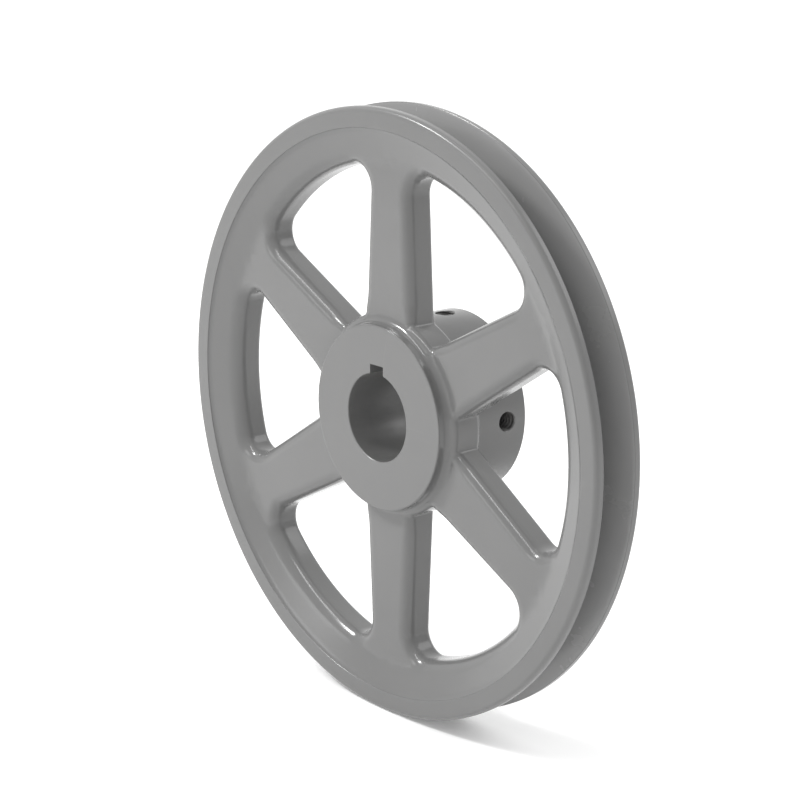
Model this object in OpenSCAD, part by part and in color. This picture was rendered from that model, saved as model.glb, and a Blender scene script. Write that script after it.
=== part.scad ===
// Six-arm single-groove V-belt pulley with two cup-point set screws.
// Millimetres. The shaft axis is Y: the flush face looks to -Y and the long
// hub end to +Y. The origin is on the axis, midway across the rim.

/* [Rim] */
// Outside diameter over the rim lands
outside_d = 196.8; // [150:0.2:260]
// Width of the rim across both machined rings
rim_w = 18.8; // [16:0.2:26]
// Width of the machined ring at each side of the rim
ring_w = 6.8; // [4:0.1:9]
// Height of that ring above the cast surface inside it
ring_step = 0.6; // [0.2:0.1:1.2]
// Rounding of the outer rim corners
rim_corner_r = 1.6; // [0.5:0.1:2.5]
// Depth of solid rim from the lands to the window wall
rim_depth = 18.2; // [16:0.2:26]

/* [Belt groove] */
// Width of the groove at the lands
groove_top_w = 12.8; // [10:0.1:16]
// Angle between the two groove walls, degrees
groove_angle = 38; // [32:1:42]
// Depth of the groove below the lands
groove_depth = 12.4; // [9:0.1:14]

/* [Arms] */
// Number of arms
arm_count = 6; // [4:1:8]
// Thickness of the arms along the shaft
arm_t = 10.6; // [7:0.1:14]
// Width of an arm where it leaves the hub
arm_hub_w = 23.4; // [16:0.2:28]
// Width of an arm where it meets the rim
arm_rim_w = 18.6; // [12:0.2:26]
// Rounding of the long arm edges
arm_edge_r = 4; // [1:0.1:5]
// Fillet in the outer corners of the windows
window_corner_r = 7; // [4:0.5:10]

/* [Hub] */
// Hub diameter
hub_d = 60; // [50:0.5:80]
// Hub length from the flush face to the long end
hub_len = 36.5; // [32:0.5:50]
// Height of the raised band round the hub between the arms
band_rise = 3; // [1:0.1:4]
// Radius of the curves that blend the band into the hub
band_blend_r = 2.3; // [2:0.1:4]
// Chamfer on both hub ends
hub_chamfer = 0.3; // [0.2:0.1:1.5]

/* [Bore and keyway] */
// Shaft bore diameter, 1-1/8 inch
bore_d = 28.575; // [19:0.005:32]
// Width of the keyway, for a 1/4 inch square key
key_w = 6.35; // [4:0.05:8]
// Depth of the keyway at its side wall
key_depth = 3.175; // [2:0.025:4]

/* [Set screws] */
// Thread diameter of both set screws, 1/4 inch
screw_d = 6.35; // [4:0.05:8]
// Radial clearance of a screw in its hole
screw_clearance = 0.05; // [0.02:0.01:0.1]
// Length of both set screws
screw_len = 7.9; // [5:0.1:9]
// Distance of the screw holes from the long hub end
screw_from_end = 7.9; // [6:0.1:14]
// Gap from a screw tip to the bore wall or keyway roof
screw_gap = 0.1; // [0.05:0.05:0.5]
// Width across the flats of the hexagon socket
socket_af = 3.2; // [2:0.1:4]
// Depth of the hexagon socket
socket_depth = 3.4; // [2:0.1:4.5]
// Diameter of the cup at the screw tip
cup_d = 3.2; // [2:0.1:4]

/* [Hidden] */
$fn = 96;
cut = 1;
outside_r = outside_d / 2;
half_w = rim_w / 2;
back_y = hub_len - half_w;
ring_r = outside_r - ring_w;
wall_r = outside_r - rim_depth;
hub_r = hub_d / 2;
band_r = hub_r + band_rise;
bore_r = bore_d / 2;
key_top = sqrt(bore_r * bore_r - key_w * key_w / 4) + key_depth;
half_t = arm_t / 2;
edge_r = arm_edge_r;
edge_steps = 5;
groove_run = tan(groove_angle / 2);
arm_lean = atan((arm_hub_w - arm_rim_w) / 2 / (wall_r - band_r));
arm_half = arm_hub_w / 2 + band_r * tan(arm_lean);
arm_end = wall_r + edge_r;
corner_sink = 0.05;
corner_r = window_corner_r + corner_sink;
corner_reach = wall_r - window_corner_r;
corner_m = arm_half + window_corner_r / cos(arm_lean);
corner_n = tan(arm_lean);
corner_k = 1 + corner_n * corner_n;
corner_root = pow(corner_m * corner_n, 2) - corner_k * (corner_m * corner_m - corner_reach * corner_reach);
corner_z = (corner_m * corner_n + sqrt(corner_root)) / corner_k;
corner_x = corner_m - corner_n * corner_z;
band_half = 0.68 * half_t;
blend_angle = acos(1 - band_rise / 2 / band_blend_r);
blend_y = band_half + 2 * band_blend_r * sin(blend_angle);
screw_r = screw_d / 2 - screw_clearance;
screw_y = back_y - screw_from_end;
screw_edge = 0.4;
cast_grey = [0.60, 0.60, 0.60];
screw_black = [0.12, 0.12, 0.13];

// points on an arc about [cx, cy] from angle a to angle b
function arc(cx, cy, r, a, b, n) =
    [for (i = [0 : n]) let (t = a + (b - a) * i / n) [cx + r * cos(t), cy + r * sin(t)]];

// a section drawn as [radius, position along Y], turned about the shaft axis
module turned(points) {
    rotate([-90, 0, 0])
        rotate_extrude()
            polygon(points);
}

// a set of points followed by its mirror image across the middle of the rim
function both_sides(points) =
    concat(points, [for (i = [len(points) - 1 : -1 : 0]) [points[i][0], -points[i][1]]]);

// solid rim with machined rings and a rounded cast wall inside it
module rim() {
    turned(both_sides(concat(
        arc(outside_r - rim_corner_r, half_w - rim_corner_r, rim_corner_r, 0, 90, 5),
        [[ring_r, half_w],
         [ring_r, half_w - ring_step]],
        arc(wall_r + edge_r, half_t - edge_r, edge_r, 112, 180, edge_steps)
    )));
}

// hub with the raised band that carries the arms
module hub() {
    turned(concat(
        [[bore_r - cut, -half_w],
         [hub_r - hub_chamfer, -half_w],
         [hub_r, hub_chamfer - half_w]],
        arc(hub_r + band_blend_r, -blend_y, band_blend_r, 180, 180 - blend_angle, 5),
        arc(band_r - band_blend_r, -band_half, band_blend_r, -blend_angle, 0, 5),
        arc(band_r - band_blend_r, band_half, band_blend_r, 0, blend_angle, 5),
        arc(hub_r + band_blend_r, blend_y, band_blend_r, 180 + blend_angle, 180, 5),
        [[hub_r, back_y - hub_chamfer],
         [hub_r - hub_chamfer, back_y],
         [bore_r - cut, back_y]]
    ));
}

// half of an arm section, its rounded edge at x = 0
module half_arm_section() {
    polygon(concat(
        [[-arm_half - 2, -half_t]],
        arc(-edge_r, edge_r - half_t, edge_r, -90, 0, edge_steps),
        arc(-edge_r, half_t - edge_r, edge_r, 0, 90, edge_steps),
        [[-arm_half - 2, half_t]]
    ));
}

// one half of the upright arm, its long edge leaning towards the arm's middle
module half_arm() {
    translate([arm_half, 0, 0])
        rotate([0, -arm_lean, 0])
            translate([0, 0, 0.8 * hub_r])
                linear_extrude(height = (arm_end / cos(arm_lean)) - 0.8 * hub_r)
                    half_arm_section();
}

// fillet that rounds the window corner between an arm and the rim wall
module window_corner() {
    translate([corner_x, 0, corner_z])
        rotate([-90, 0, 0])
            rotate([0, 0, -180 - arm_lean])
                rotate_extrude(angle = 180 + arm_lean - atan2(corner_z, corner_x))
                    polygon(both_sides(concat(
                        [[corner_r + edge_r + 1, half_t]],
                        arc(corner_r + edge_r, half_t - edge_r, edge_r, 90, 180, edge_steps)
                    )));
}

module arm() {
    for (side = [0, 1])
        mirror([side, 0, 0]) {
            half_arm();
            window_corner();
        }
}

module belt_groove() {
    over = cut * groove_run;
    turned([
        [outside_r + cut, -groove_top_w / 2 - over],
        [outside_r - groove_depth, groove_depth * groove_run - groove_top_w / 2],
        [outside_r - groove_depth, groove_top_w / 2 - groove_depth * groove_run],
        [outside_r + cut, groove_top_w / 2 + over]
    ]);
}

module shaft_bore() {
    rotate([-90, 0, 0])
        translate([0, 0, -half_w - cut])
            cylinder(h = hub_len + 2 * cut, r = bore_r);
}

module keyway() {
    translate([-key_w / 2, -half_w - cut, 0])
        cube([key_w, hub_len + 2 * cut, key_top]);
}

// a tapped hole from the shaft bore out through the hub, along +Z
module screw_hole() {
    translate([0, screw_y, bore_r / 2])
        cylinder(h = hub_r, r = screw_d / 2);
}

module pulley_casting() {
    color(cast_grey)
        difference() {
            union() {
                rim();
                hub();
                for (i = [0 : arm_count - 1])
                    rotate([0, i * 360 / arm_count, 0])
                        arm();
            }
            belt_groove();
            shaft_bore();
            keyway();
            screw_hole();
            rotate([0, 90, 0])
                screw_hole();
        }
}

// a socket set screw on the Z axis, cup point down at z = tip
module set_screw(tip) {
    color(screw_black)
        translate([0, screw_y, tip])
            difference() {
                rotate_extrude()
                    polygon([
                        [0, cup_d / 4],
                        [cup_d / 2, 0],
                        [screw_r - 2 * screw_edge, 0],
                        [screw_r, 2 * screw_edge],
                        [screw_r, screw_len - screw_edge],
                        [screw_r - screw_edge, screw_len],
                        [0, screw_len]
                    ]);
                translate([0, 0, screw_len - socket_depth])
                    cylinder(h = socket_depth + cut, d = socket_af / cos(30), $fn = 6);
            }
}

module keyway_set_screw() {
    set_screw(key_top + screw_gap);
}

module side_set_screw() {
    rotate([0, 90, 0])
        set_screw(bore_r + screw_gap);
}

pulley_casting();
keyway_set_screw();
side_set_screw();
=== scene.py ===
import math

import bmesh
import bpy
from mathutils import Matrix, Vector
from bpy.props import FloatProperty, FloatVectorProperty, IntProperty, PointerProperty


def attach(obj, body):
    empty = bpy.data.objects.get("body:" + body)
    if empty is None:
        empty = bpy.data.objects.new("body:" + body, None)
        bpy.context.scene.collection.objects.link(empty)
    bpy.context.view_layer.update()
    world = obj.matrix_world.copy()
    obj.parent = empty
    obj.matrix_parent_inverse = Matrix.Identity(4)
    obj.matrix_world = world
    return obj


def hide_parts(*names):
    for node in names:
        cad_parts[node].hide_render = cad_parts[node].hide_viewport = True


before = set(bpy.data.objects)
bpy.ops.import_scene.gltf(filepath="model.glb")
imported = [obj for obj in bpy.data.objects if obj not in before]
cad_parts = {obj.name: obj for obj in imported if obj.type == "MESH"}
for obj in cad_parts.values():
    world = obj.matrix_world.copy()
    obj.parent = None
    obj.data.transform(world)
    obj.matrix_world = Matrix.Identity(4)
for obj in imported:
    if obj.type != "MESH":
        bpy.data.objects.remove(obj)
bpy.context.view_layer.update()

bl_info = {
    "name": "Six-Arm V-Belt Pulley",
    "version": (1, 0, 0),
    "blender": (4, 5, 0),
    "location": "View3D > Sidebar > Pulley",
    "description": "Cast single-groove pulley with two socket set screws",
    "category": "Object",
}

# The shaft axis is Y. The flush face looks to -Y, the long hub end to +Y.
# "across" below is a place along Y, "out" is a distance from the axis.
TINY = 0.00001


# ---------------------------------------------------------------- sizes

def length(name, description, default):
    return FloatProperty(name=name, description=description, default=default, min=0.0,
                         unit="LENGTH", subtype="DISTANCE", precision=5)


def angle(name, description, default):
    return FloatProperty(name=name, description=description, default=math.radians(default),
                         unit="ROTATION", subtype="ANGLE")


class PulleyRimSizes(bpy.types.PropertyGroup):
    outer: length("Outside radius", "Radius of the rim lands", 0.0984)
    half: length("Half width", "Half the width of the rim", 0.0094)
    ring: length("Ring radius", "Inner radius of the machined side rings", 0.0916)
    foot: length("Ring foot", "Width of the small fillet at the foot of each ring", 0.0012)
    foot_rise: length("Foot rise", "Height of that fillet", 0.00025)
    corner: length("Corner", "Rounding of the outer rim corners", 0.0016)
    wall: length("Window wall", "Radius of the cast wall inside the rim", 0.0802)
    cone: angle("Cone", "Slope of the cast cone below the rings", 20.0)
    cone_start: length("Cone start", "Radius at which the cone leaves the arm faces", 0.08199)
    cone_blend: length("Cone blend", "Radius of the curve between arm face and cone", 0.006)
    groove_mouth: length("Groove mouth", "Half width of the groove at the lands", 0.0064)
    groove_floor: length("Groove floor", "Radius of the groove floor", 0.0860)
    groove_angle: angle("Groove wall", "Lean of each groove wall", 19.0)


class PulleyArmSizes(bpy.types.PropertyGroup):
    count: IntProperty(name="Arms", description="Number of arms", default=6, min=3, max=12)
    half: length("Half thickness", "Half the thickness of the arms", 0.0053)
    root: length("Root", "Half width of an arm carried down to the axis", 0.013378)
    lean: angle("Lean", "Taper of each long edge of an arm", 2.911)
    edge: length("Flush edge", "Rounding of the window edges on the flush side", 0.0040)
    back_edge: length("Back edge", "Rounding of the window edges on the long side", 0.0020)
    outer_corner: length("Outer corner", "Fillet of the outer window corners", 0.0070)
    inner_corner: length("Inner corner", "Fillet of the inner window corners", 0.0012)


class PulleyHubSizes(bpy.types.PropertyGroup):
    out: length("Hub radius", "Radius of the hub", 0.0300)
    back: length("Long end", "Place of the long hub end along the shaft", 0.0271)
    band: length("Band radius", "Radius of the raised band between the arms", 0.0330)
    band_blend: length("Band blend", "Radius of the curves from band to hub", 0.0023)
    fillet: length("Arm fillet", "Fillet between the arm faces and the hub", 0.0026)
    edge: length("Edge break", "Broken edge round both hub faces", 0.00035)
    bore: length("Bore radius", "Radius of the shaft bore", 0.0142875)
    key_half: length("Keyway half width", "Half the width of the keyway", 0.003175)
    key_top: length("Keyway roof", "Distance of the keyway roof from the axis", 0.017105)


class PulleyScrewSizes(bpy.types.PropertyGroup):
    across: length("Place", "Place of both screws along the shaft", 0.0192)
    hole: length("Hole radius", "Radius of the tapped holes", 0.003175)
    crest: length("Thread crest", "Radius of the screw thread crests", 0.003110)
    depth: length("Thread depth", "Depth of the thread", 0.00060)
    pitch: length("Pitch", "Distance from thread to thread", 0.00127)
    long: length("Screw length", "Length of each set screw", 0.0079)
    gap: length("Tip gap", "Gap below each screw tip", 0.0001)
    socket: length("Socket", "Half the width of the hexagon socket", 0.0016)
    socket_depth: length("Socket depth", "Depth of the hexagon socket", 0.0034)
    cup: length("Cup radius", "Radius of the cup at the tip", 0.0016)


def colour(name, description, default):
    return FloatVectorProperty(name=name, description=description, default=default,
                               size=4, min=0.0, max=1.0, subtype="COLOR")


class PulleyColours(bpy.types.PropertyGroup):
    paint: colour("Cast paint", "Grey paint on the cast surfaces", (0.138, 0.138, 0.137, 1.0))
    turned: colour("Turned paint", "Grey paint on the turned surfaces", (0.138, 0.138, 0.137, 1.0))
    # painted light: the groove's grey is a lighter copy of the paint, to light the shaded groove
    groove: colour("Groove paint", "Thin grey paint down the groove", (0.205, 0.205, 0.204, 1.0))
    bore: colour("Bore", "Thin paint over the bored surface", (0.132, 0.132, 0.130, 1.0))
    steel: colour("Screw", "Black finish of the set screws", (0.030, 0.030, 0.033, 1.0))
    hole: colour("Tapped hole", "Bare, oiled thread of the tapped holes",
                 (0.100, 0.098, 0.096, 1.0))
    floor: colour("Floor", "Pale studio floor", (0.92, 0.92, 0.92, 1.0))


# ---------------------------------------------------------------- handling

def select_only(*objects):
    if bpy.context.object and bpy.context.object.mode != "OBJECT":
        bpy.ops.object.mode_set(mode="OBJECT")
    bpy.ops.object.select_all(action="DESELECT")
    for obj in objects:
        obj.select_set(True)
    bpy.context.view_layer.objects.active = objects[0] if objects else None


def edit(obj):
    select_only(obj)
    bpy.ops.object.mode_set(mode="EDIT")
    bpy.ops.mesh.select_mode(type="VERT")
    bpy.ops.mesh.select_all(action="DESELECT")


def leave_edit():
    bpy.ops.object.mode_set(mode="OBJECT")


def settle(obj):
    """Puts the piece's place into its mesh and leaves the object at the origin."""
    select_only(obj)
    bpy.ops.object.transform_apply(location=True, rotation=True, scale=True)
    return obj


def apply_modifier(obj, kind, **settings):
    select_only(obj)
    mod = obj.modifiers.new(kind.title(), kind)
    for key, value in settings.items():
        setattr(mod, key, value)
    bpy.ops.object.modifier_apply(modifier=mod.name)


def weld(obj, distance=TINY):
    edit(obj)
    bpy.ops.mesh.select_all(action="SELECT")
    bpy.ops.mesh.remove_doubles(threshold=distance)
    bpy.ops.mesh.normals_make_consistent(inside=False)
    leave_edit()


def pick_ring(obj, out, across):
    """Selects the edges of the open ring at this distance from the axis and this place."""
    mesh = bmesh.from_edit_mesh(obj.data)
    for vert in mesh.verts:
        vert.select = False
    for edge in mesh.edges:
        edge.select = False
    for face in mesh.faces:
        face.select = False
    found = 0
    for edge in mesh.edges:
        if len(edge.link_faces) != 1:
            continue
        if all(abs(math.hypot(v.co.x, v.co.z) - out) < 4 * TINY
               and abs(v.co.y - across) < 4 * TINY for v in edge.verts):
            edge.select_set(True)
            found += 1
    if not found:
        raise RuntimeError("no open ring at %.5f, %.5f" % (out, across))
    bmesh.update_edit_mesh(obj.data)


def draw_out(obj, start, stations):
    """Extrudes an open ring through the stations, each a (distance out, place across)."""
    edit(obj)
    bpy.ops.mesh.select_mode(type="EDGE")
    pick_ring(obj, *start)
    out, across = start
    for next_out, next_across in stations:
        bpy.ops.mesh.extrude_edges_move(
            TRANSFORM_OT_translate={"value": (0.0, next_across - across, 0.0)})
        scale = next_out / out
        bpy.ops.transform.resize(value=(scale, 1.0, scale), center_override=(0.0, 0.0, 0.0))
        out, across = next_out, next_across
    leave_edit()


def arc(out, across, radius, start, end, steps):
    """Stations on an arc; angles in degrees from the outward direction."""
    found = []
    for i in range(steps + 1):
        turn = math.radians(start + (end - start) * i / steps)
        found.append((out + radius * math.cos(turn), across + radius * math.sin(turn)))
    return found


# ---------------------------------------------------------------- casting

def face_height(out, rim, arms, hub):
    """Height of the cast face over the middle plane, at a distance from the axis."""
    if out < hub.out + hub.fillet:
        reach = hub.fillet - max(out - hub.out, 0.0)
        return arms.half + hub.fillet - math.sqrt(max(hub.fillet ** 2 - reach ** 2, 0.0))
    slope = math.tan(rim.cone)
    run = rim.cone_blend * math.tan(rim.cone / 2)
    if out <= rim.cone_start - run:
        return arms.half
    if out >= rim.cone_start + run * math.cos(rim.cone):
        foot = max(out - (rim.ring - rim.foot), 0.0) / rim.foot
        return arms.half + (out - rim.cone_start) * slope + rim.foot_rise * foot * foot
    part = out - (rim.cone_start - run)
    return arms.half + rim.cone_blend - math.sqrt(rim.cone_blend ** 2 - part ** 2)


def spaced(start, end, steps):
    return [start + (end - start) * (i + 1) / steps for i in range(steps)]


def window_edge(rim, arms, hub, edge):
    """Half of a window's outline from its inner middle to its outer middle.

    Each point is (across the arm, along the arm, edge normal x, edge normal z,
    rounding, share of band shape, and its partner point on the frame)."""
    step = math.pi / arms.count
    lean = arms.lean
    slope = math.tan(lean)
    limit = 1 + slope * slope

    def on_arm(distance, gap):
        reach = arms.root + gap / math.cos(lean)
        root = (reach * slope) ** 2 - limit * (reach * reach - distance * distance)
        along = (reach * slope + math.sqrt(root)) / limit
        return reach - slope * along, along

    small, large = arms.inner_corner, arms.outer_corner
    ix, iz = on_arm(hub.band + small, small)
    ox, oz = on_arm(rim.wall - large, large)
    inner_turn, outer_turn = math.atan2(ix, iz), math.atan2(ox, oz)
    flank_low = iz - small * math.sin(lean)
    flank_high = oz - large * math.sin(lean)
    points = []

    def frame_hub(turn):
        return hub.out * math.sin(turn), hub.out * math.cos(turn)

    def frame_ring(turn):
        return rim.ring * math.sin(turn), rim.ring * math.cos(turn)

    def add(x, z, nx, nz, rounding, band, partner):
        points.append((x, z, nx, nz, rounding, band, partner))

    # inner arc, on the band
    for turn in [step] + spaced(step, inner_turn, 5):
        add(hub.band * math.sin(turn), hub.band * math.cos(turn), -math.sin(turn),
            -math.cos(turn), min(edge, 0.0023), 1.0, frame_hub(turn))
    # small fillet between band and arm
    low, high = -math.pi / 2 - inner_turn, -math.pi - lean
    count = 10
    for i, turn in enumerate(spaced(low, high, count)):
        nx, nz = math.cos(turn), math.sin(turn)
        share = (i + 1) / count
        add(ix + small * nx, iz + small * nz, nx, nz, min(edge, 0.0023 + 0.0007 * share),
            1.0 - share * share * (3 - 2 * share),
            frame_hub(inner_turn + (0.44 * inner_turn - inner_turn) * share))
    # long straight edge of the arm
    flank = [flank_low + 0.0008 * k for k in (0.8, 1.7, 2.8, 4.0, 5.4)]
    turns = spaced(0.44 * inner_turn, 0.0, len(flank))
    hub_side = [frame_hub(turn) for turn in turns]
    middle = [0.03012, 0.0303, 0.0306, 0.0310, 0.0315, 0.0321, 0.0328, 0.0340, 0.0360,
              0.0390, 0.0430, 0.0480, 0.0540, 0.0600, 0.0650, 0.0700, 0.0740, 0.0775,
              0.0800, 0.0808]
    last = flank[-1]
    rest = []
    for value in middle:
        share = (value - hub.out) / (middle[-1] - hub.out)
        rest.append(last + (flank_high - last) * share)
    partners = hub_side + [(0.0, value) for value in middle]
    for along, partner in zip(flank + rest, partners):
        ease = min(max((along - flank_low) / 0.007, 0.0), 1.0)
        ease = ease * ease * (3 - 2 * ease)
        rounding = min(edge, 0.0030 + (edge - 0.0030) * ease)
        add(arms.root - slope * along, along, -math.cos(lean), -math.sin(lean),
            rounding, 0.0, partner)
    # large fillet between arm and rim
    low, high = math.pi + lean, math.pi / 2 - outer_turn
    count = 18
    near = [0.0815, 0.0823, 0.0831, 0.0850, 0.0880, 0.0903, 0.0911, rim.ring]
    turns = spaced(0.0, outer_turn * 0.95, count - len(near))
    partners = [(0.0, value) for value in near] + [frame_ring(turn) for turn in turns]
    for turn, partner in zip(spaced(low, high, count), partners):
        nx, nz = math.cos(turn), math.sin(turn)
        add(ox + large * nx, oz + large * nz, nx, nz, edge, 0.0, partner)
    # outer arc, on the rim wall
    low = turns[-1]
    count = 10
    for i, turn in enumerate(spaced(outer_turn, step, count)):
        share = (i + 1) / count
        add(rim.wall * math.sin(turn), rim.wall * math.cos(turn), math.sin(turn),
            math.cos(turn), edge, 0.0, frame_ring(low + (step - low) * share))
    return points


ROUND_ROWS = 8
FACE_ROWS = 12


def column(point, rim, arms, hub):
    """Places down one column of the cast sheet, from the middle plane to the frame."""
    x, z, nx, nz, rounding, band, (fx, fz) = point
    blend_turn = math.acos(1 - (hub.band - hub.out) / 2 / hub.band_blend)
    top = arms.half + hub.fillet
    band_low = top - 2 * hub.band_blend * math.sin(blend_turn)
    places = [(x, z, 0.0)]
    low = arms.half - rounding
    start = low + (band_low - low) * band
    places.append((x, z, start * 0.5))
    out = math.hypot(x, z)
    for j in range(ROUND_ROWS + 1):
        share = j / ROUND_ROWS
        turn = share * math.pi / 2
        inset = rounding * (1 - math.cos(turn))
        px, pz = x + nx * inset, z + nz * inset
        height = face_height(math.hypot(px, pz), rim, arms, hub) - rounding * (1 - math.sin(turn))
        if band > 0:
            turn = share * blend_turn
            inset = hub.band_blend * (1 - math.cos(turn))
            bx, bz = x + nx * inset, z + nz * inset
            over = band_low + hub.band_blend * math.sin(turn)
            px, pz = px + (bx - px) * band, pz + (bz - pz) * band
            height += (over - height) * band
        places.append((px, pz, height))
    px, pz, _ = places[-1]
    for k in range(1, FACE_ROWS + 1):
        share = 1 - (1 - k / FACE_ROWS) ** 1.25
        qx, qz = px + (fx - px) * share, pz + (fz - pz) * share
        out = math.hypot(qx, qz)
        height = face_height(out, rim, arms, hub)
        if band > 0:
            rise = min(max(hub.band_blend + hub.out - out, 0.0), hub.band_blend)
            over = top - math.sqrt(max(hub.band_blend ** 2 - rise ** 2, 0.0))
            height += (over - height) * band
        places.append((qx, qz, height))
    return places


def half_sector(rim, arms, hub, side):
    """A grid bent into one half of an arm with its share of hub band and rim."""
    edge = arms.edge if side < 0 else arms.back_edge
    outline = window_edge(rim, arms, hub, edge)
    columns = [column(point, rim, arms, hub) for point in outline]
    rows = len(columns[0])
    select_only()
    bpy.ops.mesh.primitive_grid_add(x_subdivisions=len(columns) - 1, y_subdivisions=rows - 1,
                                    size=0.1, location=(0.0, 0.0, 0.0))
    sheet = bpy.context.object
    for j in range(rows):
        for i, places in enumerate(columns):
            x, z, height = places[j]
            sheet.data.vertices[j * len(columns) + i].co = (x, side * height, z)
    return sheet


def cast_side(rim, arms, hub, side):
    """One open side of the casting, from the hub out to the middle of the groove."""
    shell = half_sector(rim, arms, hub, side)
    apply_modifier(shell, "MIRROR", use_axis=(True, False, False), merge_threshold=TINY)
    edit(shell)
    bpy.ops.mesh.select_all(action="SELECT")
    bpy.ops.mesh.spin(steps=arms.count - 1, dupli=True,
                      angle=math.tau * (arms.count - 1) / arms.count,
                      center=(0.0, 0.0, 0.0), axis=(0.0, 1.0, 0.0))
    leave_edit()
    weld(shell)
    # machined side ring, rounded corner, land and half the groove
    high = face_height(rim.ring, rim, arms, hub)
    break_edge = 0.00015
    corner = arc(rim.outer - rim.corner, rim.half - rim.corner, rim.corner, 90, 0, 8)
    slope = math.tan(rim.groove_angle)
    floor = rim.groove_mouth - (rim.outer - rim.groove_floor) * slope
    stations = [
        (rim.ring + 0.00008, high + 0.00006),
        (rim.ring + 0.00012, rim.half - break_edge),
        (rim.ring + 0.00012 + break_edge, rim.half),
        (rim.ring + 0.0012, rim.half),
        (rim.outer - rim.corner - 0.0008, rim.half),
        *corner,
        (rim.outer, rim.groove_mouth + 0.0004),
        (rim.outer, rim.groove_mouth + 0.00012),
        (rim.outer - 0.00018, rim.groove_mouth - 0.00002),
        (rim.outer - 0.0010, rim.groove_mouth - 0.0010 * slope),
        (rim.groove_floor + 0.0009, floor + 0.0009 * slope),
        (rim.groove_floor + 0.0004, floor + 0.0001),
        (rim.groove_floor + 0.0001, floor - 0.0003),
        (rim.groove_floor, floor - 0.0007),
        (rim.groove_floor, 0.0)]
    draw_out(shell, (rim.ring, side * high), [(out, side * across) for out, across in stations])
    return shell


def set_materials(obj, materials):
    obj.data.materials.clear()
    for material in materials:
        obj.data.materials.append(material)


def smooth(obj, degrees=30.0):
    select_only(obj)
    bpy.ops.object.shade_smooth_by_angle(angle=math.radians(degrees), keep_sharp_edges=True)


def keep_hole_rims(obj, slot):
    """Marks the edges round faces of one material as sharp, so the shading stops there."""
    mesh = bmesh.new()
    mesh.from_mesh(obj.data)
    for e in mesh.edges:
        inside = {face.material_index == slot for face in e.link_faces}
        if len(inside) == 2:
            e.smooth = False
    mesh.to_mesh(obj.data)
    mesh.free()


def tapped_hole(sizes, start, mouth, end, turn):
    """A cutter for a tapped hole along +Z or +X, its thread cut as a helix."""
    around, pitch = 48, sizes.pitch
    lead_in = 0.0009
    rows = int((end - start) / pitch * 8)
    select_only()
    bpy.ops.mesh.primitive_cylinder_add(vertices=around, radius=sizes.hole, depth=end - start,
                                        end_fill_type="NGON",
                                        location=(0.0, sizes.across, (start + end) / 2))
    cutter = settle(bpy.context.object)
    edit(cutter)
    mesh = bmesh.from_edit_mesh(cutter.data)
    sides = [e for e in mesh.edges if abs(e.verts[0].co.z - e.verts[1].co.z) > TINY]
    bmesh.ops.subdivide_edges(mesh, edges=sides, cuts=rows - 1, use_grid_fill=True)
    for vert in mesh.verts:
        height = vert.co.z
        if height < start + TINY or height > end - TINY:
            continue
        around_turn = math.atan2(vert.co.y - sizes.across, vert.co.x)
        phase = (height / pitch - around_turn / math.tau) % 1.0
        dip = abs(phase * 2 - 1)
        ends = min(1.0, (mouth - 0.0002 - height) / lead_in, (height - start) / lead_in)
        out = sizes.hole - sizes.depth * 0.8 * dip * max(ends, 0.0)
        out += min(max(height - mouth + 0.0003, 0.0), 0.0004)
        vert.co.x = out * math.cos(around_turn)
        vert.co.y = sizes.across + out * math.sin(around_turn)
    bmesh.update_edit_mesh(cutter.data)
    leave_edit()
    if turn:
        select_only(cutter)
        cutter.rotation_euler = (0.0, math.pi / 2, 0.0)
        settle(cutter)
    return cutter


def cut_away(obj, cutter):
    apply_modifier(obj, "BOOLEAN", operation="DIFFERENCE", solver="EXACT", object=cutter)
    bpy.data.objects.remove(cutter)


# places of the casting's materials in its list
CAST, TURNED, BORED, TAPPED, GROOVE = range(5)


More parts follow.
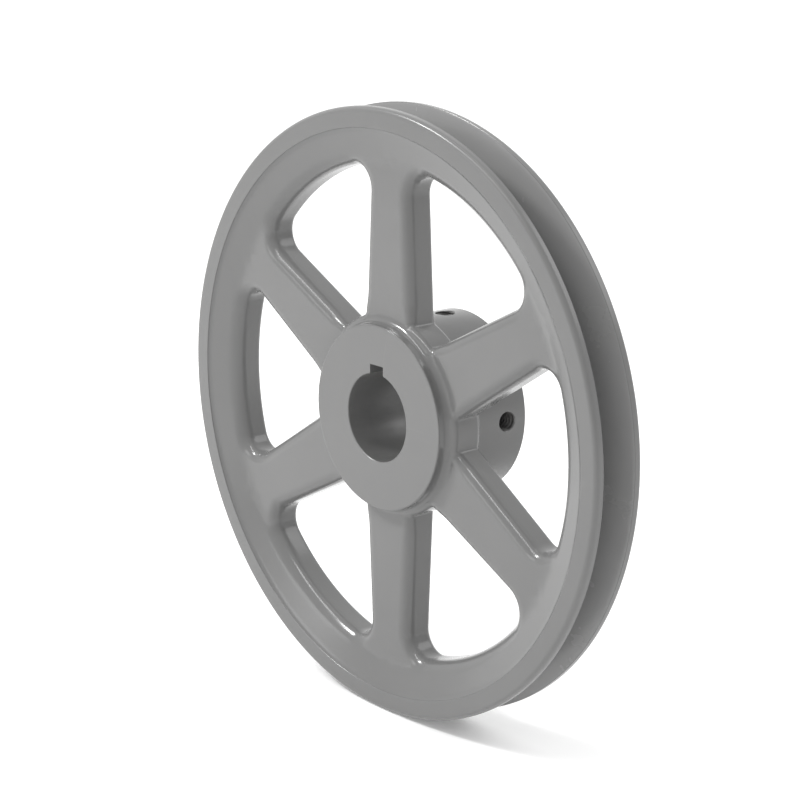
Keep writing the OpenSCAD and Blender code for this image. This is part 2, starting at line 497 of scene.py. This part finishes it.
class PULLEY_OT_casting(bpy.types.Operator):
    """Makes the one-piece casting: rim, groove, arms, hub, bore, keyway and tapped holes"""
    bl_idname = "pulley.casting"
    bl_label = "Casting"
    bl_options = {"REGISTER", "UNDO"}

    def execute(self, context):
        rim, arms = context.scene.pulley_rim, context.scene.pulley_arms
        hub, screws = context.scene.pulley_hub, context.scene.pulley_screws
        flush, back = (cast_side(rim, arms, hub, side) for side in (-1, 1))
        select_only(flush, back)
        bpy.ops.object.join()
        casting = flush
        weld(casting)

        # flush hub face, bore and long hub end
        low = face_height(hub.out, rim, arms, hub)
        edge = hub.edge
        draw_out(casting, (hub.out, -low), [
            (hub.out, -(low + 0.0003)),
            (hub.out, -(rim.half - edge - 0.0001)),
            (hub.out - edge * 0.1, -(rim.half - edge * 0.6)),
            (hub.out - edge * 0.35, -(rim.half - edge * 0.25)),
            (hub.out - edge * 0.8, -rim.half),
            (hub.out - edge * 0.8 - 0.0003, -rim.half),
            (hub.bore + 0.00045, -rim.half),
            (hub.bore + 0.00022, -rim.half),
            (hub.bore, -(rim.half - 0.00022)),
            (hub.bore, -(rim.half - 0.0006)),
            (hub.bore, 0.0),
            (hub.bore, 0.0120),
            (hub.bore, screws.across - 0.0042),
            (hub.bore, screws.across + 0.0042),
            (hub.bore, hub.back - 0.0006),
            (hub.bore, hub.back - 0.00022),
            (hub.bore + 0.00022, hub.back),
            (hub.bore + 0.00045, hub.back),
            (hub.out - edge * 0.8 - 0.0003, hub.back),
            (hub.out - edge * 0.8, hub.back),
            (hub.out - edge * 0.35, hub.back - edge * 0.25),
            (hub.out - edge * 0.1, hub.back - edge * 0.6),
            (hub.out, hub.back - edge - 0.0001),
            (hub.out, 0.0210),
            (hub.out, 0.0150),
            (hub.out, 0.0100),
            (hub.out, low)])
        weld(casting)

        # keyway with softened roof corners
        select_only()
        long = hub.back + rim.half + 0.004
        bpy.ops.mesh.primitive_cube_add(size=1.0, location=(0.0, (hub.back - rim.half) / 2,
                                                            hub.key_top / 2))
        slot = bpy.context.object
        slot.scale = (hub.key_half * 2, long, hub.key_top)
        settle(slot)
        edit(slot)
        bpy.ops.mesh.select_mode(type="EDGE")
        mesh = bmesh.from_edit_mesh(slot.data)
        for e in mesh.edges:
            e.select_set(all(v.co.z > hub.key_top - TINY for v in e.verts)
                         and abs(e.verts[0].co.y - e.verts[1].co.y) > TINY)
        bmesh.update_edit_mesh(slot.data)
        bpy.ops.mesh.bevel(offset=0.0003, segments=3, profile=0.5)
        leave_edit()
        cut_away(casting, slot)

        # tapped holes for the two set screws
        for turned in (False, True):
            cut_away(casting, tapped_hole(screws, hub.bore * 0.6, hub.out,
                                          hub.out + 0.004, turned))

        casting.name = casting.data.name = "cast_pulley"
        set_materials(casting, [cast_paint(context), turned_paint(context), bored_surface(context),
                                tapped_surface(context), lit_groove_paint(context)])
        for face in casting.data.polygons:
            centre, normal = face.center, face.normal
            out = math.hypot(centre.x, centre.z)
            flat = abs(normal.y) > 0.9
            down = math.hypot(centre.x, centre.y - screws.across)
            side = math.hypot(centre.z, centre.y - screws.across)
            in_hole = (down < screws.hole and centre.z > 0) or (side < screws.hole and centre.x > 0)
            facing = abs(normal.x * centre.x + normal.z * centre.z) / out
            if in_hole and facing < 0.9 and hub.bore - 0.0005 < out < hub.out - 0.0001:
                face.material_index = TAPPED
            elif out < hub.bore + 0.0031 and not flat:
                face.material_index = BORED
            elif flat and out < hub.out and abs(centre.y) > rim.half - 0.0002:
                face.material_index = TURNED
            elif out > rim.ring and abs(centre.y) > rim.groove_mouth:
                face.material_index = TURNED
            elif out > rim.groove_floor - 0.0002 and abs(centre.y) < rim.groove_mouth:
                face.material_index = GROOVE
        keep_hole_rims(casting, TAPPED)
        smooth(casting)
        apply_modifier(casting, "WEIGHTED_NORMAL", keep_sharp=True, weight=50)
        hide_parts("pulley_casting")
        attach(casting, "pulley")
        return {"FINISHED"}


# ---------------------------------------------------------------- set screws

def set_screw(sizes, tip, name):
    """A socket set screw on the Z axis, its cup point down at the given height."""
    around, pitch = 48, sizes.pitch
    top = tip + sizes.long
    low, high = tip + 0.0008, top - 0.0005
    rows = 44
    select_only()
    bpy.ops.mesh.primitive_cylinder_add(vertices=around, radius=sizes.crest, depth=high - low,
                                        end_fill_type="NOTHING",
                                        location=(0.0, sizes.across, (low + high) / 2))
    screw = settle(bpy.context.object)
    edit(screw)
    mesh = bmesh.from_edit_mesh(screw.data)
    sides = [e for e in mesh.edges if abs(e.verts[0].co.z - e.verts[1].co.z) > TINY]
    bmesh.ops.subdivide_edges(mesh, edges=sides, cuts=rows - 1, use_grid_fill=True)
    for vert in mesh.verts:
        height = vert.co.z
        turn = math.atan2(vert.co.y - sizes.across, vert.co.x)
        phase = (height / pitch - turn / math.tau) % 1.0
        dip = min(max(abs(phase * 2 - 1) * 1.25 - 0.04, 0.0), 1.0)
        out = sizes.crest - sizes.depth * dip
        ends = min((height - low) / 0.0006, (high - height) / 0.0005, 1.0)
        floor_out = sizes.crest - sizes.depth * 0.95
        out = floor_out + (out - floor_out) * max(ends, 0.0)
        vert.co.x = out * math.cos(turn)
        vert.co.y = sizes.across + out * math.sin(turn)
    bmesh.update_edit_mesh(screw.data)
    floor_out = sizes.crest - sizes.depth * 0.95

    # cup point, then the socket end
    def rim_ring(height):
        mesh = bmesh.from_edit_mesh(screw.data)
        for e in mesh.edges:
            e.select_set(False)
        for e in mesh.edges:
            if len(e.link_faces) == 1 and all(abs(v.co.z - height) < TINY for v in e.verts):
                e.select_set(True)
        bmesh.update_edit_mesh(screw.data)

    def carry_on(out, height, stations):
        for next_out, next_height in stations:
            bpy.ops.mesh.extrude_edges_move(
                TRANSFORM_OT_translate={"value": (0.0, 0.0, next_height - height)})
            scale = next_out / out
            bpy.ops.transform.resize(value=(scale, scale, 1.0),
                                     center_override=(0.0, sizes.across, 0.0))
            out, height = next_out, next_height

    bpy.ops.mesh.select_mode(type="EDGE")
    rim_ring(low)
    carry_on(floor_out, low, [
        (sizes.cup + 0.00022, tip + 0.00006), (sizes.cup + 0.00008, tip),
        (sizes.cup - 0.00006, tip + 0.00004), (sizes.cup * 0.55, tip + 0.0004),
        (sizes.cup * 0.2, tip + 0.00068)])
    bpy.ops.mesh.edge_face_add()
    rim_ring(high)
    carry_on(floor_out, high, [
        (floor_out - 0.00012, top - 0.0002), (floor_out - 0.00035, top - 0.00004),
        (floor_out - 0.0005, top), (sizes.socket * 1.34, top),
        (sizes.socket * 1.26, top - 0.00006)])
    leave_edit()
    # the last ring takes the hexagon's shape and goes down as the socket
    reach = sizes.socket * 1.26
    corner = sizes.socket / math.cos(math.pi / 6)

    def hexagon(turn):
        part = (turn % (math.pi / 3)) - math.pi / 6
        return sizes.socket / math.cos(part)

    for vert in screw.data.vertices:
        if abs(vert.co.z - (top - 0.00006)) < TINY:
            turn = math.atan2(vert.co.y - sizes.across, vert.co.x)
            out = min(hexagon(turn) + 0.00014, reach + corner)
            vert.co.x = out * math.cos(turn)
            vert.co.y = sizes.across + out * math.sin(turn)
    edit(screw)
    bpy.ops.mesh.select_mode(type="EDGE")
    rim_ring(top - 0.00006)
    for drop in (0.00018, sizes.socket_depth - 0.0003):
        bpy.ops.mesh.extrude_edges_move(TRANSFORM_OT_translate={"value": (0.0, 0.0, -drop)})
        mesh = bmesh.from_edit_mesh(screw.data)
        for vert in (v for v in mesh.verts if v.select):
            turn = math.atan2(vert.co.y - sizes.across, vert.co.x)
            out = hexagon(turn)
            vert.co.x = out * math.cos(turn)
            vert.co.y = sizes.across + out * math.sin(turn)
        bmesh.update_edit_mesh(screw.data)
    bpy.ops.mesh.extrude_edges_move(TRANSFORM_OT_translate={"value": (0.0, 0.0, -0.0006)})
    bpy.ops.transform.resize(value=(0.25, 0.25, 1.0), center_override=(0.0, sizes.across, 0.0))
    bpy.ops.mesh.edge_face_add()
    leave_edit()
    weld(screw, 0.000004)
    screw.name = screw.data.name = name
    return screw


class PULLEY_OT_set_screws(bpy.types.Operator):
    """Makes one socket set screw and copies it for the second tapped hole"""
    bl_idname = "pulley.set_screws"
    bl_label = "Set Screws"
    bl_options = {"REGISTER", "UNDO"}

    def execute(self, context):
        hub, sizes = context.scene.pulley_hub, context.scene.pulley_screws
        over_key = set_screw(sizes, hub.key_top + sizes.gap, "set_screw_over_keyway")
        set_materials(over_key, [black_steel(context)])
        smooth(over_key, 32.0)
        side = over_key.copy()
        side.data = over_key.data.copy()
        side.name = side.data.name = "set_screw_side"
        context.scene.collection.objects.link(side)
        # wound further in, it turns as it goes, so its thread still fits the hole
        further = hub.bore - hub.key_top
        turn = math.tau * further / sizes.pitch
        side.rotation_euler = (0.0, 0.0, turn)
        side.location = (sizes.across * math.sin(turn), sizes.across * (1.0 - math.cos(turn)),
                         further)
        settle(side)
        side.rotation_euler = (0.0, math.pi / 2, 0.0)
        settle(side)
        for screw, node, body in ((over_key, "keyway_set_screw", "key_screw"),
                                  (side, "side_set_screw", "side_screw")):
            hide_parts(node)
            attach(screw, body)
        return {"FINISHED"}


# ---------------------------------------------------------------- finishes

class Finish:
    """A material built node by node, with helpers for the nodes it uses."""

    def __init__(self, name):
        self.material = bpy.data.materials.get(name) or bpy.data.materials.new(name)
        self.material.use_nodes = True
        self.nodes = self.material.node_tree.nodes
        self.links = self.material.node_tree.links
        self.nodes.clear()
        self.output = self.nodes.new("ShaderNodeOutputMaterial")
        self.shader = self.nodes.new("ShaderNodeBsdfPrincipled")
        self.links.new(self.shader.outputs[0], self.output.inputs["Surface"])
        self.place = self.nodes.new("ShaderNodeTexCoord").outputs["Object"]

    def join(self, source, target):
        if isinstance(source, (int, float)):
            target.default_value = source
        elif isinstance(source, tuple):
            target.default_value = source
        else:
            self.links.new(source, target)

    def noise(self, scale, detail=3.0, rough=0.5, place=None, distortion=0.0):
        node = self.nodes.new("ShaderNodeTexNoise")
        self.join(place or self.place, node.inputs["Vector"])
        node.inputs["Scale"].default_value = scale
        node.inputs["Detail"].default_value = detail
        node.inputs["Roughness"].default_value = rough
        node.inputs["Distortion"].default_value = distortion
        return node.outputs["Fac"]

    def math(self, operation, a, b=0.0):
        node = self.nodes.new("ShaderNodeMath")
        node.operation = operation
        self.join(a, node.inputs[0])
        if operation not in ("SQRT", "ABSOLUTE", "SINE", "FRACT"):
            self.join(b, node.inputs[1])
        return node.outputs[0]

    def fade(self, value, low, high, to_low=0.0, to_high=1.0):
        node = self.nodes.new("ShaderNodeMapRange")
        node.interpolation_type = "SMOOTHSTEP"
        self.join(value, node.inputs["Value"])
        node.inputs["From Min"].default_value = low
        node.inputs["From Max"].default_value = high
        node.inputs["To Min"].default_value = to_low
        node.inputs["To Max"].default_value = to_high
        return node.outputs["Result"]

    def mix(self, share, a, b):
        node = self.nodes.new("ShaderNodeMix")
        node.data_type = "RGBA"
        self.join(share, node.inputs[0])
        self.join(a, node.inputs[6])
        self.join(b, node.inputs[7])
        return node.outputs[2]

    def bump(self, height, strength, distance, under=None):
        node = self.nodes.new("ShaderNodeBump")
        node.inputs["Strength"].default_value = strength
        node.inputs["Distance"].default_value = distance
        self.join(height, node.inputs["Height"])
        if under is not None:
            self.join(under, node.inputs["Normal"])
        return node.outputs["Normal"]

    def out_from_axis(self):
        split = self.nodes.new("ShaderNodeSeparateXYZ")
        self.join(self.place, split.inputs[0])
        squares = self.math("ADD", self.math("MULTIPLY", split.outputs[0], split.outputs[0]),
                            self.math("MULTIPLY", split.outputs[2], split.outputs[2]))
        return self.math("SQRT", squares)

    def edge_wear_and_highlight(self, low, high):
        """Where the surface bends outwards: raised edges, used for handling wear and for painted
        highlights along the edges.
        """
        geometry = self.nodes.new("ShaderNodeNewGeometry")
        return self.fade(geometry.outputs["Pointiness"], low, high)


def shade_of(colour, factor):
    return tuple(min(channel * factor, 1.0) for channel in colour[:3]) + (1.0,)


def cast_paint(context):
    """Semi-gloss grey paint over a fine sand-cast surface."""
    grey = tuple(context.scene.pulley_colours.paint)
    finish = Finish("cast_grey_paint")
    tone = finish.noise(18.0, 4.0, 0.55)
    speck = finish.noise(900.0, 2.0, 0.6)
    base = finish.mix(finish.fade(tone, 0.3, 0.7), shade_of(grey, 0.965), shade_of(grey, 1.03))
    base = finish.mix(finish.fade(speck, 0.62, 0.75, 0.0, 0.25), base, shade_of(grey, 0.9))
    # raised edges painted lighter: a painted highlight along the edges, partly handling wear
    base = finish.mix(finish.math("MULTIPLY", finish.edge_wear_and_highlight(0.53, 0.60), 0.16), base,
                      shade_of(grey, 1.25))
    finish.join(base, finish.shader.inputs["Base Color"])
    gloss = finish.fade(finish.noise(60.0, 4.0, 0.6), 0.3, 0.7, 0.15, 0.19)
    finish.join(gloss, finish.shader.inputs["Roughness"])
    finish.shader.inputs["IOR"].default_value = 1.48
    sand = finish.noise(650.0, 5.0, 0.55)
    waves = finish.noise(120.0, 3.0, 0.5)
    normal = finish.bump(sand, 0.04, 0.00005)
    normal = finish.bump(waves, 0.025, 0.0001, normal)
    finish.join(normal, finish.shader.inputs["Normal"])
    return finish.material


def turned_paint(context):
    """The same paint over turned faces, with faint rings from the lathe tool."""
    grey = tuple(context.scene.pulley_colours.turned)
    finish = Finish("turned_grey_paint")
    tone = finish.noise(22.0, 4.0, 0.55)
    base = finish.mix(finish.fade(tone, 0.3, 0.7), shade_of(grey, 0.975), shade_of(grey, 1.02))
    # raised edges painted lighter: a painted highlight along the edges, partly handling wear
    base = finish.mix(finish.math("MULTIPLY", finish.edge_wear_and_highlight(0.53, 0.60), 0.18), base,
                      shade_of(grey, 1.25))
    finish.join(base, finish.shader.inputs["Base Color"])
    gloss = finish.fade(finish.noise(70.0, 3.0, 0.6), 0.3, 0.7, 0.22, 0.27)
    finish.join(gloss, finish.shader.inputs["Roughness"])
    finish.shader.inputs["IOR"].default_value = 1.48
    out = finish.out_from_axis()
    rings = finish.math("SINE", finish.math("MULTIPLY", out, math.tau / 0.00035))
    uneven = finish.math("MULTIPLY", rings, finish.noise(40.0, 2.0, 0.5))
    normal = finish.bump(uneven, 0.05, 0.00003)
    normal = finish.bump(finish.noise(500.0, 4.0, 0.55), 0.08, 0.0001, normal)
    finish.join(normal, finish.shader.inputs["Normal"])
    return finish.material


def lit_groove_paint(context):
    """The grey paint made lighter down the groove, as painted light in the shaded groove, and a
    little lighter still towards the lands.
    """
    grey = tuple(context.scene.pulley_colours.groove)
    finish = Finish("groove_paint_painted_light")
    out = finish.out_from_axis()
    tone = finish.noise(30.0, 4.0, 0.55)
    base = finish.mix(finish.fade(tone, 0.3, 0.7), shade_of(grey, 0.97), shade_of(grey, 1.03))
    # a little lighter towards the lands
    lighter_near_lands = finish.math("MULTIPLY", finish.fade(out, 0.088, 0.096), 0.35)
    base = finish.mix(lighter_near_lands, base, shade_of(grey, 1.12))
    finish.join(base, finish.shader.inputs["Base Color"])
    finish.join(finish.fade(finish.noise(80.0, 3.0, 0.6), 0.3, 0.7, 0.20, 0.28),
                finish.shader.inputs["Roughness"])
    finish.shader.inputs["IOR"].default_value = 1.48
    rings = finish.math("SINE", finish.math("MULTIPLY", out, math.tau / 0.0004))
    finish.join(finish.bump(finish.math("MULTIPLY", rings, tone), 0.05, 0.00003),
                finish.shader.inputs["Normal"])
    return finish.material


def bored_surface(context):
    """Thin grey over the bored hole and keyway, with fine tool lines along the shaft."""
    grey = tuple(context.scene.pulley_colours.bore)
    finish = Finish("bored_grey_surface")
    split = finish.nodes.new("ShaderNodeSeparateXYZ")
    finish.join(finish.place, split.inputs[0])
    lines = finish.math("SINE", finish.math("MULTIPLY", split.outputs[1], math.tau / 0.0003))
    tone = finish.noise(60.0, 4.0, 0.6)
    base = finish.mix(finish.fade(tone, 0.3, 0.7), shade_of(grey, 0.93), shade_of(grey, 1.08))
    finish.join(base, finish.shader.inputs["Base Color"])
    gloss = finish.fade(finish.noise(150.0, 3.0, 0.6), 0.3, 0.7, 0.30, 0.42)
    finish.join(gloss, finish.shader.inputs["Roughness"])
    finish.shader.inputs["Metallic"].default_value = 0.15
    normal = finish.bump(lines, 0.06, 0.00003)
    finish.join(normal, finish.shader.inputs["Normal"])
    return finish.material


def tapped_surface(context):
    """Dark, oily bare iron down the threads of the tapped holes."""
    dark = tuple(context.scene.pulley_colours.hole)
    finish = Finish("oiled_thread")
    tone = finish.noise(400.0, 4.0, 0.6)
    base = finish.mix(finish.fade(tone, 0.3, 0.7), shade_of(dark, 0.75), shade_of(dark, 1.3))
    finish.join(base, finish.shader.inputs["Base Color"])
    finish.join(finish.fade(finish.noise(900.0, 3.0, 0.5), 0.3, 0.7, 0.38, 0.55),
                finish.shader.inputs["Roughness"])
    finish.shader.inputs["Metallic"].default_value = 0.3
    finish.join(finish.bump(finish.noise(1800.0, 3.0, 0.5), 0.15, 0.00005),
                finish.shader.inputs["Normal"])
    return finish.material


def black_steel(context):
    """Black-finished alloy steel, a little bright where the thread crests rub."""
    black = tuple(context.scene.pulley_colours.steel)
    finish = Finish("black_screw_steel")
    tone = finish.noise(900.0, 4.0, 0.6)
    base = finish.mix(finish.fade(tone, 0.3, 0.7), shade_of(black, 0.8), shade_of(black, 1.3))
    patchy = finish.fade(tone, 0.35, 0.6, 0.3, 0.9)
    worn = finish.math("MULTIPLY", finish.edge_wear_and_highlight(0.52, 0.62), patchy)
    base = finish.mix(worn, base, (0.20, 0.20, 0.21, 1.0))
    finish.join(base, finish.shader.inputs["Base Color"])
    finish.shader.inputs["Metallic"].default_value = 0.85
    finish.join(finish.fade(finish.noise(1500.0, 3.0, 0.5), 0.3, 0.7, 0.34, 0.48),
                finish.shader.inputs["Roughness"])
    normal = finish.bump(finish.noise(2500.0, 3.0, 0.5), 0.12, 0.00004)
    finish.join(normal, finish.shader.inputs["Normal"])
    return finish.material


def floor_finish(context):
    pale = tuple(context.scene.pulley_colours.floor)
    finish = Finish("pale_floor")
    tone = finish.noise(3.0, 3.0, 0.5)
    finish.join(finish.mix(finish.fade(tone, 0.3, 0.7), shade_of(pale, 0.995), pale),
                finish.shader.inputs["Base Color"])
    finish.shader.inputs["Roughness"].default_value = 0.85
    finish.shader.inputs["Emission Color"].default_value = (1.0, 1.0, 1.0, 1.0)
    finish.shader.inputs["Emission Strength"].default_value = 0.13
    return finish.material


# ---------------------------------------------------------------- stage

def soft_light(name, place, target, size, power, shade=(1.0, 1.0, 1.0)):
    light = bpy.data.lights.new(name, "AREA")
    light.shape = "RECTANGLE"
    light.size, light.size_y = size
    light.energy = power
    light.color = shade
    lamp = bpy.data.objects.new(name, light)
    bpy.context.scene.collection.objects.link(lamp)
    lamp.location = place
    aim = (target[0] - place[0], target[1] - place[1], target[2] - place[2])
    lamp.rotation_euler = Vector(aim).to_track_quat("-Z", "Y").to_euler()
    return lamp


class PULLEY_OT_stage(bpy.types.Operator):
    """Lays the pale floor, hangs the soft lights and sets the camera"""
    bl_idname = "pulley.stage"
    bl_label = "Stage"
    bl_options = {"REGISTER", "UNDO"}

    def execute(self, context):
        rim = context.scene.pulley_rim
        select_only()
        bpy.ops.mesh.primitive_plane_add(size=12.0, location=(0.0, 0.0, -rim.outer - 0.0001))
        floor = bpy.context.object
        floor.name = "studio_floor"
        settle(floor)
        set_materials(floor, [floor_finish(context)])

        world = bpy.data.worlds.new("studio_white")
        context.scene.world = world
        world.use_nodes = True
        tree = world.node_tree
        back = tree.nodes["Background"]
        back.inputs["Color"].default_value = (1.0, 1.0, 1.0, 1.0)
        # a white studio, a little brighter to the left and overhead
        way = tree.nodes.new("ShaderNodeTexCoord")
        lean = tree.nodes.new("ShaderNodeVectorMath")
        lean.operation = "DOT_PRODUCT"
        lean.inputs[1].default_value = (-0.23, 0.10, 0.04)
        level = tree.nodes.new("ShaderNodeMath")
        level.inputs[1].default_value = 1.0
        tree.links.new(way.outputs["Generated"], lean.inputs[0])
        tree.links.new(lean.outputs["Value"], level.inputs[0])
        tree.links.new(level.outputs[0], back.inputs["Strength"])

        middle = (0.0, 0.0, 0.0)
        soft_light("front_softbox", (-0.70, -1.30, 0.30), middle, (0.45, 0.45), 1.6)
        soft_light("high_front_lamp", (-0.66, -0.68, 0.90), middle, (0.20, 0.20), 8.0)
        soft_light("high_front_strip", (-0.12, -0.66, 1.00), (-0.12, 0.0, 0.0), (0.64, 0.16), 2.8)
        soft_light("overhead_strip", (-0.12, -0.06, 1.20), (-0.12, 0.0, 0.0), (0.60, 0.10), 0.9)
        soft_light("back_softbox", (0.55, 0.80, 0.80), middle, (0.6, 0.6), 2.4)

        lens = bpy.data.cameras.new("studio_camera")
        lens.lens = 103.95
        lens.sensor_width = 36.0
        lens.clip_start, lens.clip_end = 0.01, 20.0
        camera = bpy.data.objects.new("studio_camera", lens)
        context.scene.collection.objects.link(camera)
        camera.location = (0.54387, -0.45880, 0.19424)
        camera.rotation_euler = (math.pi / 2 - 0.2609, 0.0, 0.8697)
        context.scene.camera = camera
        context.scene.view_settings.view_transform = "Standard"
        return {"FINISHED"}


# ---------------------------------------------------------------- panel

class VIEW3D_PT_pulley(bpy.types.Panel):
    """Sizes, colours and steps of the pulley"""
    bl_label = "Six-Arm Pulley"
    bl_idname = "VIEW3D_PT_pulley"
    bl_space_type = "VIEW_3D"
    bl_region_type = "UI"
    bl_category = "Pulley"

    def draw(self, context):
        layout = self.layout
        scene = context.scene
        for title, group in (("Rim", scene.pulley_rim), ("Arms", scene.pulley_arms),
                             ("Hub", scene.pulley_hub), ("Set screws", scene.pulley_screws),
                             ("Colours", scene.pulley_colours)):
            box = layout.box()
            box.label(text=title)
            for key in group.__annotations__:
                box.prop(group, key)
        for step in STEPS:
            layout.operator("pulley." + step)


STEPS = ("casting", "set_screws", "stage")
GROUPS = (
    ("pulley_rim", PulleyRimSizes),
    ("pulley_arms", PulleyArmSizes),
    ("pulley_hub", PulleyHubSizes),
    ("pulley_screws", PulleyScrewSizes),
    ("pulley_colours", PulleyColours),
)
CLASSES = (PULLEY_OT_casting, PULLEY_OT_set_screws, PULLEY_OT_stage, VIEW3D_PT_pulley)


def register():
    for name, group in GROUPS:
        bpy.utils.register_class(group)
        setattr(bpy.types.Scene, name, PointerProperty(type=group))
    for cls in CLASSES:
        bpy.utils.register_class(cls)


def unregister():
    for cls in reversed(CLASSES):
        bpy.utils.unregister_class(cls)
    for name, group in reversed(GROUPS):
        delattr(bpy.types.Scene, name)
        bpy.utils.unregister_class(group)


def main():
    register()
    for step in STEPS:
        getattr(bpy.ops.pulley, step)()


if __name__ == "__main__":
    main()
